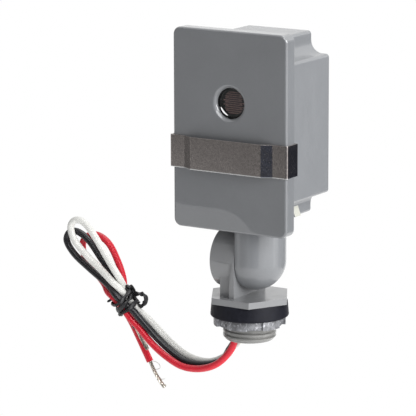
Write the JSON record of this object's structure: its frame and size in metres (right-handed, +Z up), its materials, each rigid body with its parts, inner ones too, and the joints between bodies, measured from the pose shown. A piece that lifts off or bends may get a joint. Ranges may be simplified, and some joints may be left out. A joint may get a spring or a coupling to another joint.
{
  "type": "photocell switch",
  "caption": "Grey stem-mounted photocell switch: swivelling head with a round light window and a sliding metal shade, on a threaded nipple with gasket, locknut and tied leads.",
  "frame": {"origin": "centre of the nipple's open end, on the thread's axis", "axes": "+Z up the nipple towards the head, -Y the way the light window faces, +X to the right of someone facing it from behind the nipple's barrel side"},
  "size_m": [0.1144, 0.0397, 0.151],
  "materials": {
    "shell_plastic": "moulded grey plastic with a fine satin grain",
    "stem_plastic": "moulded light grey plastic, smooth",
    "lens_clear": "clear flat lens",
    "cell_black": "black moulded cup",
    "cell_ceramic": "matt ceramic disc",
    "cell_film": "dark sintered film",
    "tinned_wire": "tinned copper strands",
    "slide_metal": "thin satin sheet metal",
    "board_laminate": "brown paper laminate",
    "screw_steel": "zinc-plated steel",
    "heater_ceramic": "matt white ceramic",
    "bimetal": "rolled bimetal strip",
    "contact_metal": "plated contact",
    "arrester_coat": "dipped blue coating",
    "gasket_rubber": "soft black rubber",
    "zinc_cast": "die-cast zinc, satin",
    "grommet_rubber": "black rubber",
    "red_vinyl": "red vinyl insulation",
    "black_vinyl": "black vinyl insulation",
    "white_vinyl": "white vinyl insulation",
    "tie_coat": "black coated wire"
  },
  "bodies": {
    "stem": {"stem": "stem_plastic", "gasket": "gasket_rubber", "locknut": "zinc_cast", "swivel_washer": "screw_steel", "swivel_cap": "shell_plastic", "lead_grommet": "grommet_rubber", "red_lead": "red_vinyl", "black_lead": "black_vinyl", "white_lead": "white_vinyl", "red_strands": "tinned_wire", "black_strands": "tinned_wire", "white_strands": "tinned_wire", "twist_tie": "tie_coat"},
    "head": {"rear_housing": "shell_plastic", "front_cover": "shell_plastic", "window_lens": "lens_clear", "cell_cup": "cell_black", "cell_disc": "cell_ceramic", "cell_track": "cell_film", "cell_pins": "tinned_wire", "circuit_board": "board_laminate", "board_screws": "screw_steel", "heater_resistor": "heater_ceramic", "bimetal_blade": "bimetal", "fixed_contact": "contact_metal", "surge_arrester": "arrester_coat", "swivel_clip": "screw_steel"},
    "slide": {"light_slide": "slide_metal"}
  },
  "joints": [
    {"name": "swivel", "type": "hinge", "parent": "stem", "child": "head", "pos_m": [0, 0, 0.0319], "axis": [1, 0, 0], "range_deg": [-90, 75]},
    {"name": "light_level", "type": "slide", "parent": "head", "child": "slide", "axis": [0, 0, 1], "range_m": [-0.0195, 0.0202]}
  ]
}
